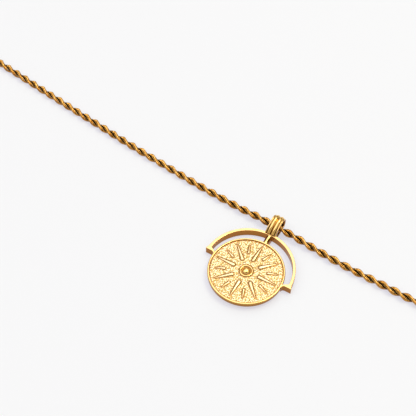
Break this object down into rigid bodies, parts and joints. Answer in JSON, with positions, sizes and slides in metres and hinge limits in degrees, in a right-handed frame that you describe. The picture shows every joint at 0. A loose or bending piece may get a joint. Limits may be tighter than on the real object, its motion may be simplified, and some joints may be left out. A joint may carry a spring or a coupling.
{
  "type": "compass pendant on a rope chain",
  "caption": "Round sun-ray compass medallion under a half-hoop frame with a ribbed bail, threaded on a closed rope-chain necklace that lies flat.",
  "frame": {"origin": "centre of the medallion's flat back", "axes": "+Y from the medallion's centre to the bail, +Z out of the medallion's face, +X to the right when it is seen face on"},
  "size_m": [0.2197, 0.1467, 0.005],
  "materials": {
    "cast_gold": "polished gold plate with a satin grained field",
    "chain_gold": "polished gold plate",
    "clasp_gold": "polished gold plate"
  },
  "bodies": {
    "root": {"pendant": "cast_gold", "rope_chain": "chain_gold", "clasp": "clasp_gold"}
  },
  "joints": []
}
